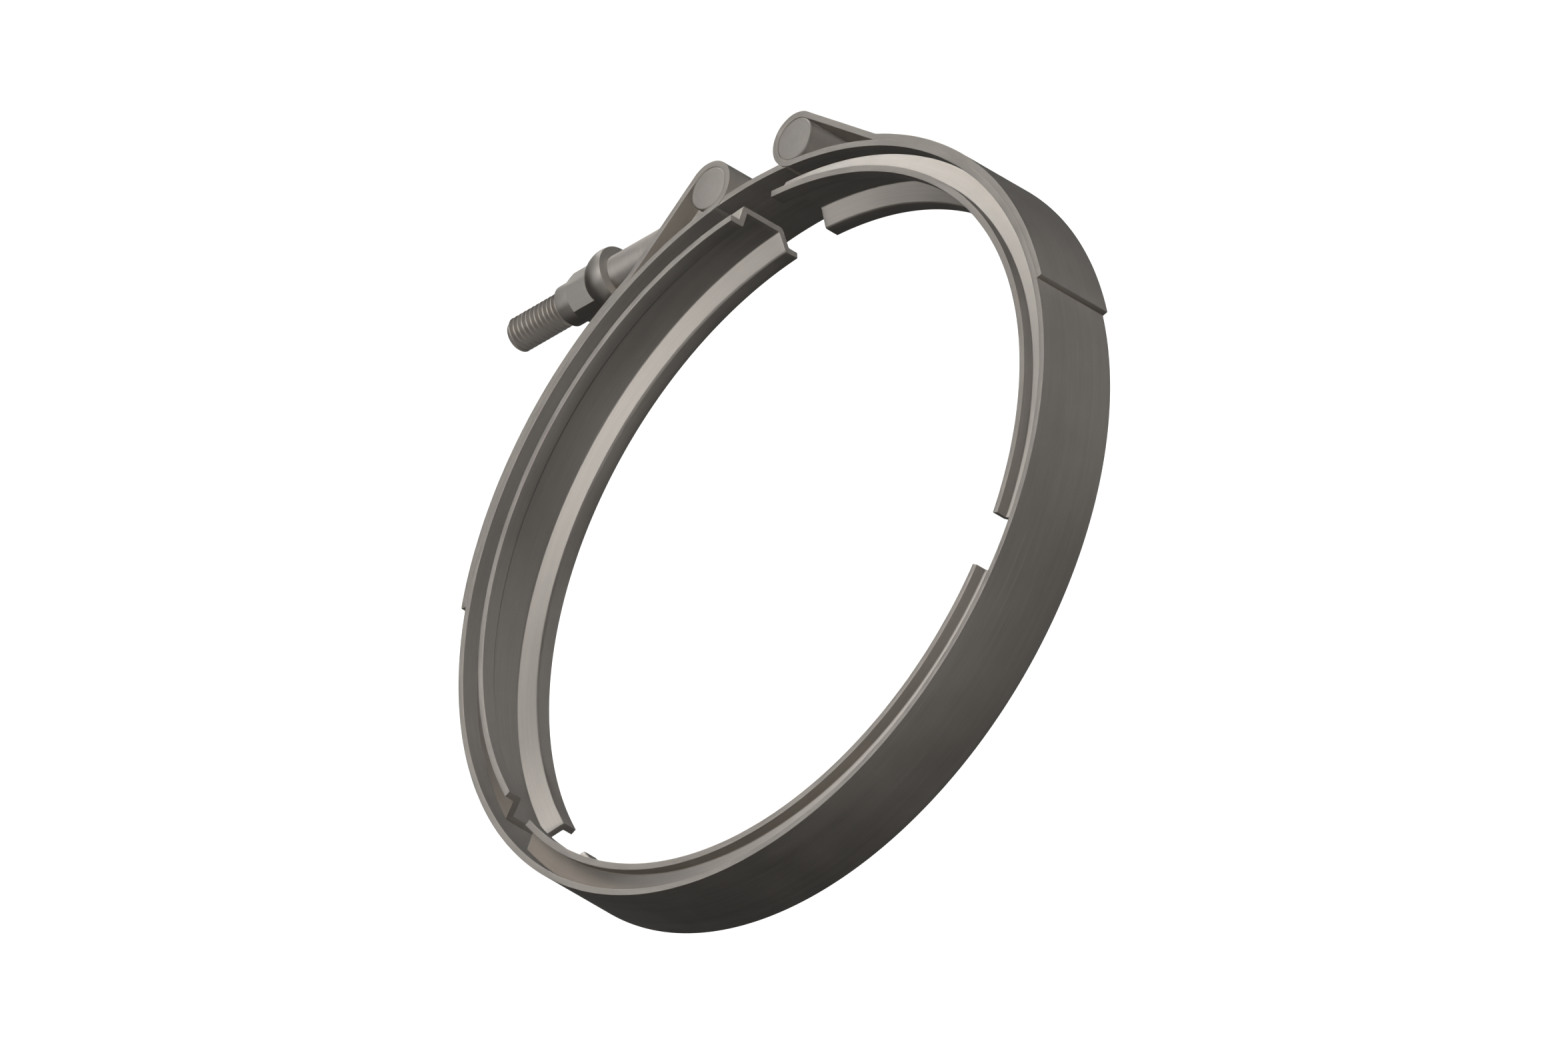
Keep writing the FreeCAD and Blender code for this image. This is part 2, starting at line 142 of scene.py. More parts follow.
# Lock nut, measured from the flat face that presses on the tube
NUT_GAP = 0.1
BALL_RADIUS = 7.1
BALL_OFFSET = 1.45
DOME_STEPS = 40
HEX_APOTHEM = 5.1
HEX_START = 3.0
HEX_END = 12.05
HEX_EDGE = 0.18
HEX_CHAMFER = math.radians(30)
COLLAR_RADIUS = 4.72
COLLAR_LENGTH = 4.1
COLLAR_CHAMFER = 0.4
NUT_BORE = 3.95
NUT_COUNTERSINK = 0.35

# The hexagon's flats are the faces of at least this area that don't look along the rod
HEX_FLAT_AREA = 15.0
END_FACING = 0.5

# How finely curves are divided: degrees for big arcs and bends, counts for the rest
RING_STEP = math.radians(1)
BEND_STEP = math.radians(4)
CORNER_STEP = math.radians(22.5)
ROUND_SIDES = 128
THREAD_SIDES = 64
EDGE_STEPS = 3

# Edges above this angle are shaded sharp, and places this near to each other, in metres, are one
SHARP_ANGLE = math.radians(32)
SAME_PLACE = 1e-7

# UV map that lays the grain: along it at u, across it at v, in millimetres
UV = "grain"

# Steels: colour, roughness, length and width of the grain's finest lines, relief and anisotropy
STEELS = {
    "strap_steel": ((0.475, 0.44, 0.4), 0.42, (9.0, 0.2), 0.6, 0.35),
    "retainer_steel": ((0.48, 0.444, 0.404), 0.4, (16.0, 0.3), 0.45, 0.3),
    "trunnion_steel": ((0.475, 0.44, 0.402), 0.4, (6.0, 0.16), 0.5, 0.0),
    "bolt_steel": ((0.475, 0.442, 0.406), 0.4, (6.0, 0.18), 0.5, 0.0),
    "nut_steel": ((0.42, 0.391, 0.358), 0.38, (5.0, 0.2), 0.5, 0.0),
}

# Streaks and scratches, as multiples of the finest lines' length and width, and the clouds' fineness
STREAK_SIZE = (6, 7)
SCRATCH_SIZE = (5, 2.5)
CLOUD_SCALE = (70, 70, 70)

# How much fine detail each pattern has
GRAIN_DETAIL = 4.0
SCRATCH_DETAIL = 1.0
CLOUD_DETAIL = 3.0

# How much of the pattern is streaks, and then how much is clouds
STREAK_SHARE = 0.45
CLOUD_SHARE = 0.35

# The span of each pattern over which its effect goes from none to full
TONE_SPAN = (0.36, 0.64)
ROUGHNESS_SPAN = (0.3, 0.7)
SCRATCH_SPAN = (0.68, 0.76)
WEAR_SPAN = (0.995, 0.85)

# How far they change the steel: tones are factors on its colour, shares say how strongly they count
TONE_CHANGE = 0.1
ROUGHNESS_CHANGE = 0.07
SCRATCH_TONE = 1.35
SCRATCH_SHARE = 0.35
WEAR_TONE = 1.4
WEAR_SHARE = 0.6
WEAR_RADIUS = 0.3
WEAR_SAMPLES = 6
RELIEF_HEIGHT = 0.012

# The mix node's colour sockets, which bear the same names as its other ones
MIX_COLOURS = (6, 7)
MIX_RESULT = 2

# Floor, its light and the light from all sides
FLOOR_HALF = 3000.0
FLOOR_GAP = 0.02
FLOOR_COLOUR = (0.9, 0.9, 0.9, 1)
FLOOR_ROUGHNESS = 0.8
FLOOR_LIGHT = 2.7
WHITE = (1, 1, 1, 1)
DIM_LIGHT = 0.05

# The photograph's frame: an isometric view with no perspective
IMAGE_WIDTH = 2352
IMAGE_HEIGHT = 1568
RING_CENTRE_PIXEL = (1126.6, 776.2)
PIXELS_PER_MM = 7.05
CAMERA_DISTANCE = 1000.0


def polar(radius, angle, centre=CENTRE):
    """The point at a radius and an angle from a centre."""
    return centre + Vector((math.cos(angle), math.sin(angle))) * radius


def spread(start, end, count):
    """Numbers evenly spread from start to end, both included."""
    return [start + (end - start) * index / count for index in range(count + 1)]


def arc(centre, radius, start, end, step):
    """Points along an arc, each with the direction to the path's left hand."""
    count = max(2, math.ceil(abs(end - start) / step))
    left = -1 if end > start else 1
    angles = spread(start, end, count)
    return [(polar(radius, angle, centre), polar(left, angle)) for angle in angles]


def rounded(corners, closed=True):
    """An outline through corners given as (x, y, radius), with an arc in place of each corner."""
    outline = []
    for index, (x, y, radius) in enumerate(corners):
        here = Vector((x, y))
        at_end = not closed and index in (0, len(corners) - 1)
        if at_end or not radius:
            outline.append(here)
            continue
        before = (Vector(corners[index - 1][:2]) - here).normalized()
        after = (Vector(corners[(index + 1) % len(corners)][:2]) - here).normalized()
        half = before.angle(after) / 2
        middle = here + (before + after).normalized() * radius / math.sin(half)
        first = here + before * radius / math.tan(half) - middle
        last = here + after * radius / math.tan(half) - middle
        turn = math.atan2(first.x * last.y - first.y * last.x, first.dot(last))
        start = math.atan2(first.y, first.x)
        count = max(2, math.ceil(abs(turn) / CORNER_STEP))
        outline += [polar(radius, start + turn * step / count, middle) for step in range(count + 1)]
    return outline


def shrink(outline, distance):
    """The closed outline moved inwards by a small distance."""
    if not distance:
        return outline
    pairs = list(zip(outline, outline[1:] + outline[:1]))
    area = sum(a.x * b.y - b.x * a.y for a, b in pairs)
    side = 1 if area > 0 else -1
    edges = [(b - a).normalized() for a, b in pairs]
    inward = [Vector((-edge.y, edge.x)) * side for edge in edges]
    moved = []
    for index, point in enumerate(outline):
        mitre = (inward[index - 1] + inward[index]).normalized()
        moved.append(point + mitre * distance / mitre.dot(inward[index]))
    return moved


def build(name, points, faces, uvs=None):
    """A Blender object from points in millimetres, with a UV pair for each corner of each face."""
    mesh = bpy.data.meshes.new(name)
    mesh.from_pydata([Vector(point) * MM for point in points], [], faces)
    if uvs:
        layer = mesh.uv_layers.new(name=UV)
        for loop, pair in zip(layer.data, (pair for face in uvs for pair in face)):
            loop.uv = pair
    shape = bpy.data.objects.new(name, mesh)
    bpy.context.scene.collection.objects.link(shape)
    edit = bmesh.new()
    edit.from_mesh(mesh)
    bmesh.ops.recalc_face_normals(edit, faces=edit.faces)
    edit.to_mesh(mesh)
    edit.free()
    return shape


def soften_ends(stations, edge):
    """Round the edge of both end faces: the last stretch shrinks the section like a quarter circle."""
    made = [(*station, 0.0) for station in stations]
    for end, sign in ((0, -1), (-1, 1)):
        origin, across, up = stations[end]
        forward = across.cross(up) * sign
        start = origin - forward * edge
        made[end] = (start, across, up, 0.0)
        tip = []
        for angle in spread(0, math.pi / 2, EDGE_STEPS)[1:]:
            inset = edge * (1 - math.cos(angle))
            tip.append((start + forward * edge * math.sin(angle), across, up, inset))
        made = made + tip if sign > 0 else tip[::-1] + made
    return made


def sweep(name, stations, section, edge, grain_along=True):
    """A solid from a section carried along stations, each an origin and the section's two directions.

    The grain runs along the stations, or else round the section.
    """
    rows = soften_ends(stations, edge)
    size = len(section)
    points = []
    lengths = [0.0]
    for index, (origin, across, up, inset) in enumerate(rows):
        points += [origin + across * p.x + up * p.y for p in shrink(section, inset)]
        if index:
            lengths.append(lengths[-1] + (origin - rows[index - 1][0]).length)
    around = [0.0]
    for start, end in zip(section, section[1:] + section[:1]):
        side = (end - start).length
        around.append(around[-1] + (side if side > CUT_EDGE else side / CUT_EVENNESS))
    faces = []
    uvs = []
    for row in range(len(rows) - 1):
        for side in range(size):
            beside = (side + 1) % size
            low = row * size
            high = low + size
            faces.append((low + side, low + beside, high + beside, high + side))
            corners = ((row, side), (row, side + 1), (row + 1, side + 1), (row + 1, side))
            pairs = [(lengths[along], around[about]) for along, about in corners]
            uvs.append(pairs if grain_along else [(v, u) for u, v in pairs])
    last = len(points) - size
    faces += [tuple(range(size)), tuple(range(last, len(points)))]
    uvs += [[(p.y, p.x) if grain_along else (p.x, p.y / CUT_EVENNESS) for p in section]] * 2
    return build(name, points, faces, uvs)


def lathe(name, profile, origin, axis, side):
    """A turned solid: a profile of (along, radius) points carried round an axis."""
    other = axis.cross(side)
    angles = spread(0, math.tau, ROUND_SIDES)[:-1]
    spokes = [side * math.cos(angle) + other * math.sin(angle) for angle in angles]
    points = [origin + axis * p.x + spoke * p.y for p in profile for spoke in spokes]
    faces = []
    for row in range(len(profile) - 1):
        for index in range(ROUND_SIDES):
            beside = (index + 1) % ROUND_SIDES
            low = row * ROUND_SIDES
            high = low + ROUND_SIDES
            faces.append((low + index, low + beside, high + beside, high + index))
    last = len(points) - ROUND_SIDES
    faces += [tuple(range(ROUND_SIDES)), tuple(range(last, len(points)))]
    return build(name, points, faces)


def combine(base, tool, operation):
    """Join, cut or trim a piece with a tool, which is used up."""
    modifier = base.modifiers.new(operation, "BOOLEAN")
    modifier.operation = operation
    modifier.solver = "EXACT"
    modifier.object = tool
    shaped = base.evaluated_get(bpy.context.evaluated_depsgraph_get())
    mesh = bpy.data.meshes.new_from_object(shaped)
    base.modifiers.clear()
    base.data = mesh
    bpy.data.objects.remove(tool)
    return base


def turned_uv(piece, spindles):
    """Lay the grain round the spindle that each face belongs to: (test, origin, axis, side) each."""
    mesh = piece.data
    layer = mesh.uv_layers.get(UV) or mesh.uv_layers.new(name=UV)
    for polygon in mesh.polygons:
        middle = polygon.center / MM
        origin, axis, side = next(spindle[1:] for spindle in spindles if spindle[0](middle))
        other = axis.cross(side)
        first = None
        for loop in polygon.loop_indices:
            arm = mesh.vertices[mesh.loops[loop].vertex_index].co / MM - origin
            along = arm.dot(axis)
            out = arm - axis * along
            angle = math.atan2(out.dot(other), out.dot(side))
            first = angle if first is None else first
            angle += math.tau * round((first - angle) / math.tau)
            layer.data[loop].uv = (angle * BARREL_RADIUS, along + out.length)


def drawn_uv(piece, axis, least_area):
    """Lay the grain along the axis on a piece's large flat sides, as on a drawn bar."""
    mesh = piece.data
    layer = mesh.uv_layers[UV]
    for polygon in mesh.polygons:
        if polygon.area < least_area * MM**2 or abs(polygon.normal.dot(axis)) > END_FACING:
            continue
        across = polygon.normal.cross(axis)
        for loop in polygon.loop_indices:
            place = mesh.vertices[mesh.loops[loop].vertex_index].co / MM
            layer.data[loop].uv = (place.dot(axis), place.dot(across))


def finish(piece, body, node, slot):
    """Smooth a piece's shading up to its sharp edges, give it its steel and put it on its body."""
    mesh = piece.data
    mesh.name = piece.name
    mesh.polygons.foreach_set("use_smooth", [True] * len(mesh.polygons))
    mesh.set_sharp_from_angle(angle=SHARP_ANGLE)
    mesh.materials.clear()
    mesh.materials.append(steels[slot])
    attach(piece, body)
    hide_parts(node)


def flat_stations(path):
    """Stations of a path drawn in the ring's plane, with the section's width along Z."""
    return [(point.to_3d(), left.to_3d(), Z_AXIS) for point, left in path]


def strap_path():
    """The strap's line on the side that touches the barrels, from one tail to the other.

    The right half runs from the bottom of the ring up its outside, round the loop, down the ear
    and along the lap. The left half is its mirror image.
    """
    loop = Vector((LOOP_X, LOOP_Y))
    meet = math.atan2(LOOP_Y, LOOP_X)
    normal = Vector((math.sin(EAR_SLOPE), math.cos(EAR_SLOPE)))
    along = Vector((math.cos(EAR_SLOPE), -math.sin(EAR_SLOPE)))
    base = loop + normal * (LOOP_INNER + EAR_BEND)
    down = base.dot(along)
    run = -down - math.sqrt(down**2 - base.length_squared + (LAP_RADIUS + EAR_BEND) ** 2)
    bend = base + along * run
    lap_start = math.atan2(bend.y, bend.x)
    right = arc(CENTRE, RING_OUTER, -math.pi / 2, meet, RING_STEP)
    right += arc(loop, LOOP_INNER, meet + math.pi, math.pi / 2 - EAR_SLOPE, BEND_STEP)[1:]
    right += arc(bend, EAR_BEND, -math.pi / 2 - EAR_SLOPE, lap_start - math.pi, BEND_STEP)
    right += arc(CENTRE, LAP_RADIUS, lap_start, TAIL_ANGLE, RING_STEP)[1:]
    mirror = Vector((-1, 1))
    left = [(point * mirror, side * mirror) for point, side in reversed(right)]
    return left + right[1:]


def window_cutter():
    """The punch of the window in the left ear, a wedge across the strap.

    Its corners are rounded at the four edges that run through the strap's thickness.
    """
    loop_outer = LOOP_INNER + STRAP
    outside = loop_outer + OVERCUT
    inside = LOOP_INNER - OVERCUT
    reach = (loop_outer * math.cos(EAR_SLOPE) + WINDOW_HALF) / math.sin(EAR_SLOPE)
    slope = Vector((-math.sin(EAR_SLOPE), math.cos(EAR_SLOPE)))
    down = Vector((-math.cos(EAR_SLOPE), -math.sin(EAR_SLOPE))) * reach
    start = Vector((-math.sin(WINDOW_START), math.cos(WINDOW_START)))
    outline = [CENTRE, start * outside, slope * outside, slope * outside + down, slope * inside + down]
    loop = Vector((-LOOP_X, LOOP_Y))
    size = len(outline)
    placed = [(loop + point).to_3d() for point in outline]
    points = [point + Z_AXIS * z for z in (-WINDOW_HALF, WINDOW_HALF) for point in placed]
    faces = [tuple(range(size)), tuple(range(size, 2 * size))]
    faces += [(i, (i + 1) % size, (i + 1) % size + size, i + size) for i in range(size)]
    cutter = build("window_cutter", points, faces)
    edit = bmesh.new()
    edit.from_mesh(cutter.data)
    edit.verts.ensure_lookup_table()
    through = [{0, 1}, {3, 4}, {size, size + 1}, {size + 3, size + 4}]
    corners = [edge for edge in edit.edges if {vert.index for vert in edge.verts} in through]
    bmesh.ops.bevel(
        edit,
        geom=corners,
        offset=WINDOW_CORNER * MM,
        segments=WINDOW_CORNER_STEPS,
        profile=ROUND_BEVEL,
        affect="EDGES",
    )
    edit.to_mesh(cutter.data)
    edit.free()
    return cutter


def plain_cylinder(name, radius, start, end, origin, axis, side):
    """A plain round tool from start to end along an axis."""
    profile = [Vector((start, radius)), Vector((end, radius))]
    return lathe(name, profile, origin, axis, side)


def sheet_corners(low, high, half):
    """The corners of a rectangle: from low to high, and half to either side."""
    return [(low, -half), (high, -half), (high, half), (low, half)]


def make_band():
    """The strap, folded back on itself at both ends, with its bolt holes and its window."""
    section = rounded([(x, z, SHEET_EDGE) for x, z in sheet_corners(0, STRAP, HALF_WIDTH)])
    band = sweep("band_strap", flat_stations(strap_path()), section, END_EDGE)
    height = Y_AXIS * LOOP_Y
    holes = plain_cylinder("bolt_holes", BOLT_HOLE_RADIUS, -LOOP_X, LOOP_X, height, X_AXIS, Y_AXIS)
    combine(band, holes, "DIFFERENCE")
    combine(band, window_cutter(), "DIFFERENCE")
    finish(band, "clamp_band", "band", "strap_steel")


def make_gap_bridge():
    """The strip under the bolt, hollowed at both ends to clear the loops."""
    loop = Vector((LOOP_X, LOOP_Y))
    meet = math.atan2(LOOP_Y, LOOP_X)
    reach = loop.length
    right = []
    for radius in (BAND_RADIUS, RING_OUTER):
        cosine = (radius**2 + reach**2 - BRIDGE_END_RADIUS**2) / (2 * radius * reach)
        right.append(polar(radius, meet + math.acos(cosine)))
    low, high = (math.atan2(point.y, point.x) for point in right)
    start, end = (math.atan2(*(point - loop).yx) for point in right)
    hollow = [polar(BRIDGE_END_RADIUS, angle, loop) for angle in spread(start, end, BRIDGE_END_STEPS)]
    top = [point for point, _ in arc(CENTRE, RING_OUTER, high, math.pi - high, RING_STEP)]
    under = [point for point, _ in arc(CENTRE, BAND_RADIUS, math.pi - low, low, RING_STEP)]
    mirror = Vector((-1, 1))
    outline = hollow[:-1] + top[:-1] + [point * mirror for point in reversed(hollow)][:-1] + under[:-1]
    stations = [(Z_AXIS * z, X_AXIS, Y_AXIS) for z in (-HALF_WIDTH, HALF_WIDTH)]
    bridge = sweep("gap_bridge_strip", stations, outline, BRIDGE_EDGE, grain_along=False)
    finish(bridge, "clamp_band", "gap_bridge", "strap_steel")


def retainer_section():
    """The rolled V section: a crown under the strap, two leaning legs and two feet."""
    lean = math.tan(GROOVE_ANGLE)
    depth = SHEET + GROOVE_DEPTH
    crown_half = GROOVE_FLOOR_HALF + SHEET * math.tan((math.pi / 2 - GROOVE_ANGLE) / 2)
    upper = [
        (0, crown_half, OUTER_BEND),
        (GROOVE_DEPTH, crown_half + GROOVE_DEPTH * lean, INNER_BEND),
        (GROOVE_DEPTH, HALF_WIDTH, SHEET_EDGE),
        (depth, HALF_WIDTH, SHEET_EDGE),
        (depth, GROOVE_FLOOR_HALF + GROOVE_DEPTH * lean, OUTER_BEND),
        (SHEET, GROOVE_FLOOR_HALF, INNER_BEND),
    ]
    return rounded(upper + [(x, -z, radius) for x, z, radius in reversed(upper)])


def make_retainers():
    """The three V-section retainers. As in the photograph, the strap behind doesn't mirror them."""
    for node, facing in RETAINERS.items():
        middle = math.radians(facing)
        ends = (middle - RETAINER_SPAN / 2, middle + RETAINER_SPAN / 2)
        path = arc(CENTRE, BAND_RADIUS, *ends, RING_STEP)
        piece = sweep(f"{node}_v", flat_stations(path), retainer_section(), END_EDGE)
        piece.visible_glossy = False
        finish(piece, "clamp_band", node, "retainer_steel")


def turned_profile(corners):
    """A turned piece's profile from its first face to its last, closed almost to the axis."""
    first = (corners[0][0], AXIS_RADIUS, 0)
    last = (corners[-1][0], AXIS_RADIUS, 0)
    return rounded([first, *corners, last], closed=False)


def make_barrel(name, x):
    """A cross barrel with chamfered ends."""
    inner = BARREL_HALF - BARREL_CHAMFER
    half = [(-BARREL_HALF, BARREL_RADIUS - BARREL_CHAMFER), (-inner, BARREL_RADIUS)]
    corners = half + [(-z, radius) for z, radius in reversed(half)]
    profile = turned_profile([(z, radius, TURNED_EDGE) for z, radius in corners])
    return lathe(name, profile, Vector((x, LOOP_Y, 0)), Z_AXIS, X_AXIS)


def in_barrel(x):
    """A test for the faces of the barrel at x, and not of its stem."""
    axis = Vector((x, LOOP_Y))
    return lambda point: (point.xy - axis).length < BARREL_RADIUS + TURNED_EDGE


def everywhere(point):
    """A test that every face passes."""
    return True


def thread_point(tip, turn, dip, side):
    """A point of the rod: so many turns from its tip, so deep in its thread and at one of its sides."""
    round_share = side / THREAD_SIDES
    x = tip + (turn - THREAD_SPARE + round_share) * PITCH
    fade = min(1, max(0, (tip + THREAD_LENGTH - x) / (THREAD_RUN_OUT * PITCH)))
    threaded = ROD_RADIUS - THREAD_DEPTH * dip * fade
    radius = min(threaded, ROD_RADIUS - ROD_CHAMFER + max(0, x - tip))
    angle = math.tau * round_share
    return (x, LOOP_Y + radius * math.cos(angle), radius * math.sin(angle))


def thread_rod():
    """The rod: a helical thread from its tip, running out into the plain shank."""
    tip = LOOP_X - ROD_LENGTH
    turns = math.ceil(THREAD_LENGTH / PITCH + 2 * THREAD_SPARE)
    rings = [(turn + phase, dip) for turn in range(turns) for phase, dip in THREAD_FORM]
    points = [thread_point(tip, turn, dip, side) for turn, dip in rings for side in range(THREAD_SIDES)]
    faces = []
    per_turn = len(THREAD_FORM)
    for row in range(len(rings) - per_turn - 1):
        for side in range(THREAD_SIDES):
            here = row * THREAD_SIDES + side
            wraps = side + 1 == THREAD_SIDES
            beside = (row + per_turn) * THREAD_SIDES if wraps else here + 1
            faces.append((here, beside, beside + THREAD_SIDES, here + THREAD_SIDES))
    rod = build("rod", points, faces)
    close_rod_ends(rod, tip)
    return rod


def close_rod_ends(rod, tip):
    """Cut off the spare turns, carry the shank on into the barrel and close both ends."""
    thread_end = tip + THREAD_LENGTH
    edit = bmesh.new()
    edit.from_mesh(rod.data)
    for x, outwards in ((tip, -1), (thread_end, 1)):
        plane = Vector((x * MM, 0, 0))
        everything = edit.verts[:] + edit.edges[:] + edit.faces[:]
        bmesh.ops.bisect_plane(
            edit, geom=everything, plane_co=plane, plane_no=X_AXIS * outwards, clear_outer=True
        )
        rim = [edge for edge in edit.edges if edge.is_boundary and on_plane(edge, x)]
        if outwards > 0:
            moved = bmesh.ops.extrude_edge_only(edit, edges=rim)["geom"]
            for vert in moved:
                if isinstance(vert, bmesh.types.BMVert):
                    vert.co.x = LOOP_X * MM
            edges = [item for item in moved if isinstance(item, bmesh.types.BMEdge)]
            rim = [edge for edge in edges if on_plane(edge, LOOP_X)]
        bmesh.ops.contextual_create(edit, geom=rim)
    bmesh.ops.recalc_face_normals(edit, faces=edit.faces)
    edit.to_mesh(rod.data)
    edit.free()


def on_plane(edge, x):
    """Whether an edge lies in the plane square to the rod at x."""
    return all(abs(vert.co.x - x * MM) < SAME_PLACE for vert in edge.verts)


def make_t_bolt():
    """The T-bolt: its barrel in the right loop and its threaded rod."""
    bolt = combine(make_barrel("t_bolt_forging", LOOP_X), thread_rod(), "UNION")
    height = Y_AXIS * LOOP_Y
    barrel = (in_barrel(LOOP_X), height + X_AXIS * LOOP_X, Z_AXIS, X_AXIS)
    turned_uv(bolt, [barrel, (everywhere, height, -X_AXIS, Y_AXIS)])
    finish(bolt, "bolt", "t_bolt", "bolt_steel")


def make_latch_trunnion():
    """The latch trunnion: its barrel in the left loop and its tube, bored through."""
    origin = Vector((-LOOP_X, LOOP_Y, 0))
    shoulder = TUBE_LENGTH - TUBE_CHAMFER
    outside = [
        (0, TUBE_RADIUS, 0),
        (shoulder, TUBE_RADIUS, 0),
        (TUBE_LENGTH, TUBE_RADIUS - TUBE_CHAMFER, 0),
    ]
    bore = [
        (-BARREL_RADIUS - OVERCUT, TUBE_BORE, 0),
        (shoulder, TUBE_BORE, 0),
        (TUBE_LENGTH + OVERCUT, TUBE_BORE + TUBE_CHAMFER + OVERCUT, 0),
    ]
    latch = make_barrel("latch_trunnion_tube", -LOOP_X)
    combine(latch, lathe("tube", turned_profile(outside), origin, -X_AXIS, Y_AXIS), "UNION")
    combine(latch, lathe("bore", turned_profile(bore), origin, -X_AXIS, Y_AXIS), "DIFFERENCE")
    barrel = (in_barrel(-LOOP_X), origin, Z_AXIS, X_AXIS)
    turned_uv(latch, [barrel, (everywhere, origin, -X_AXIS, Y_AXIS)])
    finish(latch, "latch", "latch_trunnion", "trunnion_steel")


def nut_outside():
    """The nut's turned profile: a flat face, the domed flange and the locking collar."""
    rim = math.sqrt(BALL_RADIUS**2 - BALL_OFFSET**2)
    start = math.atan2(rim, -BALL_OFFSET)
    end = math.asin(COLLAR_RADIUS / BALL_RADIUS)
    centre = Vector((BALL_OFFSET, 0))
    dome = [(*polar(BALL_RADIUS, angle, centre), 0) for angle in spread(start, end, DOME_STEPS)]
    dome[0] = (*dome[0][:2], TURNED_EDGE)
    nut_end = HEX_END + COLLAR_LENGTH
    collar = [
        (nut_end - COLLAR_CHAMFER, COLLAR_RADIUS, TURNED_EDGE),
        (nut_end, COLLAR_RADIUS - COLLAR_CHAMFER, TURNED_EDGE),
    ]
    return turned_profile(dome + collar)


def make_lock_nut():
    """The lock nut: its turned body, the hexagon with chamfered corners, and its bore."""
    origin = Vector((-LOOP_X - TUBE_LENGTH - NUT_GAP, LOOP_Y, 0))
    corner = HEX_APOTHEM / math.cos(math.pi / 6)
    hexagon = [(*polar(corner, math.radians(angle)), HEX_EDGE) for angle in range(30, 390, 60)]
    stations = [(origin - X_AXIS * a, Y_AXIS, -Z_AXIS) for a in (HEX_START, HEX_END)]
    nut = sweep("lock_nut_flanged", stations, rounded(hexagon), TURNED_EDGE)
    wide = corner + OVERCUT
    chamfer = [
        (HEX_START - OVERCUT, wide, 0),
        (HEX_END - (wide - HEX_APOTHEM) * math.tan(HEX_CHAMFER), wide, 0),
        (HEX_END + OVERCUT, HEX_APOTHEM - OVERCUT / math.tan(HEX_CHAMFER), 0),
    ]
    combine(nut, lathe("hex_chamfer", turned_profile(chamfer), origin, -X_AXIS, Y_AXIS), "INTERSECT")
    combine(nut, lathe("nut_body", nut_outside(), origin, -X_AXIS, Y_AXIS), "UNION")
    nut_end = HEX_END + COLLAR_LENGTH
    flare = NUT_BORE + NUT_COUNTERSINK + OVERCUT
    bore = [
        (-OVERCUT, flare, 0),
        (NUT_COUNTERSINK, NUT_BORE, 0),
        (nut_end - NUT_COUNTERSINK, NUT_BORE, 0),
        (nut_end + OVERCUT, flare, 0),
    ]
    combine(nut, lathe("nut_bore", turned_profile(bore), origin, -X_AXIS, Y_AXIS), "DIFFERENCE")
    turned_uv(nut, [(everywhere, origin, -X_AXIS, Y_AXIS)])
    drawn_uv(nut, X_AXIS, HEX_FLAT_AREA)
    finish(nut, "nut", "lock_nut", "nut_steel")


def add(tree, kind, inputs=None, **settings):
    """A shader node, its settings, and its inputs, each a value or a socket to link."""
    made = tree.nodes.new(kind)
    for name, setting in settings.items():
        setattr(made, name, setting)
    for name, given in (inputs or {}).items():
        if isinstance(given, bpy.types.NodeSocket):
            tree.links.new(given, made.inputs[name])
        else:
            made.inputs[name].default_value = given
    return made


def noise(tree, vector, scale, detail):
    """A noise pattern from 0 to 1, finer along the axes with the larger scale."""
    stretched = add(tree, "ShaderNodeMapping", {"Vector": vector, "Scale": scale}).outputs[0]
    pattern = add(tree, "ShaderNodeTexNoise", {"Vector": stretched, "Detail": detail, "Scale": 1.0})
    return pattern.outputs["Fac"]


def remap(tree, value, low, high, to_low=0.0, to_high=1.0):
    """A value's range from low to high, stretched to another range and cut off outside it."""
    limits = {"From Min": low, "From Max": high, "To Min": to_low, "To Max": to_high}
    return add(tree, "ShaderNodeMapRange", {"Value": value, **limits}).outputs["Result"]


def blend(tree, factor, low, high):
    """A value between two values or sockets."""
    return add(tree, "ShaderNodeMix", {"Factor": factor, "A": low, "B": high}).outputs["Result"]


def tint(tree, factor, low, high):
    """A colour between two colours, each a tuple or a socket."""
    mixed = add(tree, "ShaderNodeMix", data_type="RGBA")
    tree.links.new(factor, mixed.inputs["Factor"])
    for index, given in zip(MIX_COLOURS, (low, high)):
        if isinstance(given, bpy.types.NodeSocket):
            tree.links.new(given, mixed.inputs[index])
        else:
            mixed.inputs[index].default_value = (*given, 1)
    return mixed.outputs[MIX_RESULT]


def shade(colour, factor):
    """A colour made darker or lighter."""
    return tuple(min(1, channel * factor) for channel in colour)


def edge_wear(tree):
    """1 on sharp edges, fading to 0 a short way from them."""
    bevel = add(tree, "ShaderNodeBevel", {"Radius": WEAR_RADIUS * MM}, samples=WEAR_SAMPLES)
    normal = add(tree, "ShaderNodeNewGeometry").outputs["Normal"]
    inputs = {0: bevel.outputs["Normal"], 1: normal}
    agreement = add(tree, "ShaderNodeVectorMath", inputs, operation="DOT_PRODUCT").outputs["Value"]
    return remap(tree, agreement, *WEAR_SPAN)


def grained(tree, along, grain, size=(1, 1), detail=GRAIN_DETAIL):
    """A noise drawn out along the grain, so many times longer and wider than its finest lines."""
    length, width = grain
    return noise(tree, along, (1 / (size[0] * length), 1 / (size[1] * width), 1), detail)


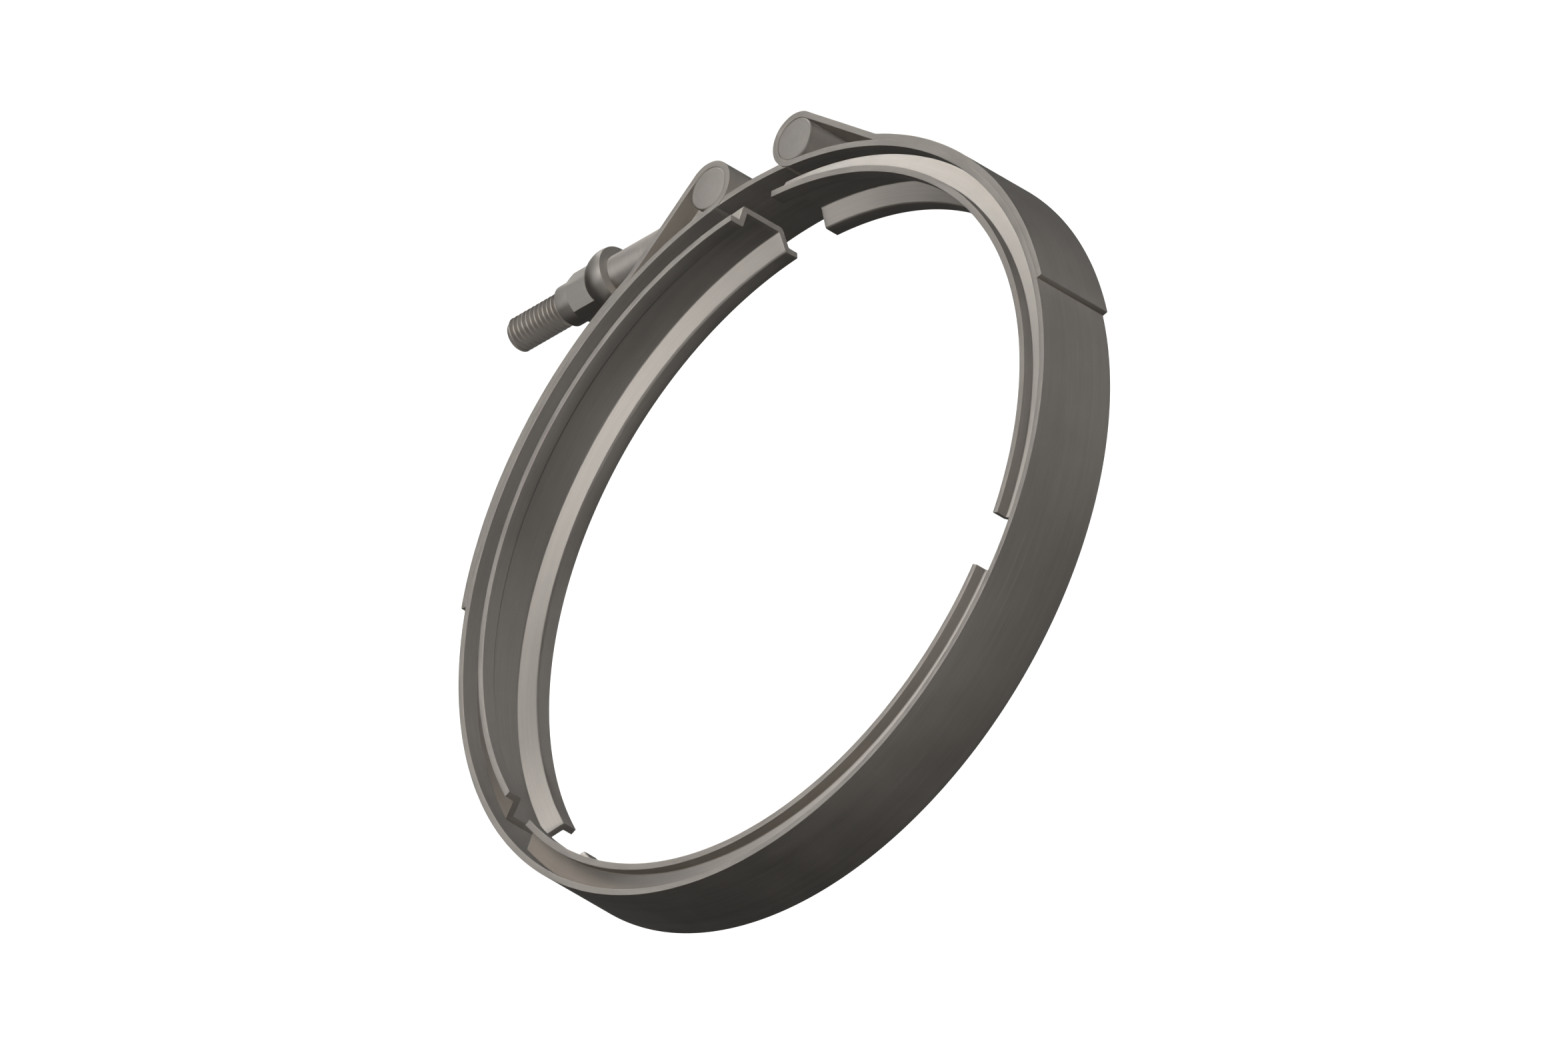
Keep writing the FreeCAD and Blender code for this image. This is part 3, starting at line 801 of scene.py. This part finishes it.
def make_steel(name, colour, roughness, grain, relief, anisotropic):
    """Satin stainless steel with a grain, handling marks, hairline scratches and bright worn edges."""
    material = bpy.data.materials.new(name)
    material.use_nodes = True
    tree = material.node_tree
    tree.nodes.clear()
    along = add(tree, "ShaderNodeUVMap", uv_map=UV).outputs["UV"]
    place = add(tree, "ShaderNodeTexCoord").outputs["Object"]
    lines = grained(tree, along, grain)
    streaks = grained(tree, along, grain, STREAK_SIZE)
    scratches = remap(tree, grained(tree, along, grain, SCRATCH_SIZE, SCRATCH_DETAIL), *SCRATCH_SPAN)
    clouds = noise(tree, place, CLOUD_SCALE, CLOUD_DETAIL)
    pattern = blend(tree, CLOUD_SHARE, blend(tree, STREAK_SHARE, lines, streaks), clouds)
    dark, light = shade(colour, 1 - TONE_CHANGE), shade(colour, 1 + TONE_CHANGE)
    toned = tint(tree, remap(tree, pattern, *TONE_SPAN), dark, light)
    scratched = remap(tree, scratches, 0, 1, 0, SCRATCH_SHARE)
    marked = tint(tree, scratched, toned, shade(colour, SCRATCH_TONE))
    worn = remap(tree, edge_wear(tree), 0, 1, 0, WEAR_SHARE)
    edged = tint(tree, worn, marked, shade(colour, WEAR_TONE))
    smooth, dull = roughness - ROUGHNESS_CHANGE, roughness + ROUGHNESS_CHANGE
    rough = remap(tree, pattern, *ROUGHNESS_SPAN, smooth, dull)
    height = add(tree, "ShaderNodeMath", {0: lines, 1: scratches}, operation="SUBTRACT").outputs[0]
    bump_inputs = {"Height": height, "Strength": relief, "Distance": RELIEF_HEIGHT * MM}
    bump = add(tree, "ShaderNodeBump", bump_inputs).outputs["Normal"]
    shader_inputs = {
        "Base Color": edged,
        "Metallic": 1.0,
        "Roughness": rough,
        "Anisotropic": anisotropic,
        "Normal": bump,
    }
    shader = add(tree, "ShaderNodeBsdfPrincipled", shader_inputs)
    add(tree, "ShaderNodeOutputMaterial", {"Surface": shader.outputs["BSDF"]})
    return material


def make_floor():
    """A plain pale floor just under the clamp, which neither lights it nor shows in its steel."""
    z = cad_box[0].z / MM - FLOOR_GAP
    corners = sheet_corners(-FLOOR_HALF, FLOOR_HALF, FLOOR_HALF)
    floor = build("floor", [(x, y, z) for x, y in corners], [(0, 1, 2, 3)])
    material = bpy.data.materials.new("floor")
    material.use_nodes = True
    shader = material.node_tree.nodes["Principled BSDF"]
    shader.inputs["Base Color"].default_value = FLOOR_COLOUR
    shader.inputs["Roughness"].default_value = FLOOR_ROUGHNESS
    floor.data.materials.append(material)
    floor.visible_glossy = False
    floor.visible_diffuse = False


def make_surroundings():
    """A dim light from all sides, with wide soft glows: where each is, how wide and how bright."""
    glows = {
        "low_front": (Vector((0.15, -0.80, 0.58)), 65, 0.45),
        "right_upper": (Vector((0.67, 0.63, 0.39)), 40, 0.3),
        "left_side": (Vector((-0.65, 0.75, -0.10)), 25, 0.25),
    }
    world = bpy.data.worlds.new("studio")
    world.use_nodes = True
    bpy.context.scene.world = world
    tree = world.node_tree
    background = tree.nodes["Background"]
    direction = add(tree, "ShaderNodeTexCoord").outputs["Generated"]
    total = DIM_LIGHT
    for place, width, strength in glows.values():
        inputs = {0: direction, 1: place.normalized()}
        nearness = add(tree, "ShaderNodeVectorMath", inputs, operation="DOT_PRODUCT").outputs["Value"]
        glow = remap(tree, nearness, math.cos(math.radians(width)), 1.0, 0.0, strength)
        total = add(tree, "ShaderNodeMath", {0: glow, 1: total}, operation="ADD").outputs[0]
    tree.links.new(total, background.inputs["Strength"])
    background.inputs["Color"].default_value = WHITE


def add_sun(name, energy):
    """A far lamp that casts no shadows and shines straight down until it is turned."""
    lamp = bpy.data.lights.new(name, "SUN")
    lamp.energy = energy
    lamp.use_shadow = False
    lamp.cycles.use_multiple_importance_sampling = False
    light = bpy.data.objects.new(name, lamp)
    bpy.context.scene.collection.objects.link(light)
    return light


def make_lamps():
    """The studio's wide lamps: where each one stands, how wide it is and how strong."""
    lamps = {
        "front": (Vector((-0.18, 0.18, 0.97)), 35, 0.48),
        "front_upper": (Vector((0.06, 0.58, 0.81)), 35, 0.12),
        "front_left": (Vector((-0.58, -0.06, 0.81)), 35, 0.19),
        "upper": (Vector((0.01, 0.90, 0.44)), 35, 0.42),
        "upper_left": (Vector((-0.58, 0.58, 0.58)), 35, 0.16),
        "top": (Vector((-0.31, 0.95, 0.07)), 35, 0.44),
        "back_upper": (Vector((0.08, 0.80, -0.59)), 35, 0.045),
        "back_right": (Vector((0.68, 0.45, -0.58)), 60, 0.2),
        "low_right": (Vector((0.82, -0.53, -0.24)), 60, 0.14),
        "back_low": (Vector((0.24, -0.82, -0.53)), 60, 0.045),
    }
    for name, (place, width, strength) in lamps.items():
        light = add_sun(name, strength)
        light.data.angle = math.radians(width)
        light.rotation_euler = place.to_track_quat("Z", "Y").to_euler()


def make_floor_light():
    """An even light from straight above that keeps the floor white and doesn't show in the steel."""
    add_sun("floor_light", FLOOR_LIGHT).visible_glossy = False


def make_camera():
    """The photograph's camera: isometric, looking down on the ring from its front right."""
    towards = Vector((1, -1, 1)).normalized()
    right = Vector((1, 0, -1)).normalized()
    up = towards.cross(right)
    front_centre = Z_AXIS * HALF_WIDTH
    shift_right = (IMAGE_WIDTH / 2 - RING_CENTRE_PIXEL[0]) / PIXELS_PER_MM
    shift_up = (RING_CENTRE_PIXEL[1] - IMAGE_HEIGHT / 2) / PIXELS_PER_MM
    target = front_centre + right * shift_right + up * shift_up
    data = bpy.data.cameras.new("camera")
    data.type = "ORTHO"
    data.ortho_scale = IMAGE_WIDTH / PIXELS_PER_MM * MM
    camera = bpy.data.objects.new("camera", data)
    turn = Matrix((right, up, towards)).transposed().to_4x4()
    place = (target + towards * CAMERA_DISTANCE) * MM
    camera.matrix_world = Matrix.Translation(place) @ turn
    bpy.context.scene.collection.objects.link(camera)
    bpy.context.scene.camera = camera


steels = {name: make_steel(name, *look) for name, look in STEELS.items()}
make_band()
make_gap_bridge()
make_retainers()
make_t_bolt()
make_latch_trunnion()
make_lock_nut()
make_floor()
make_surroundings()
make_lamps()
make_floor_light()
make_camera()
bpy.context.scene.view_settings.view_transform = "Standard"
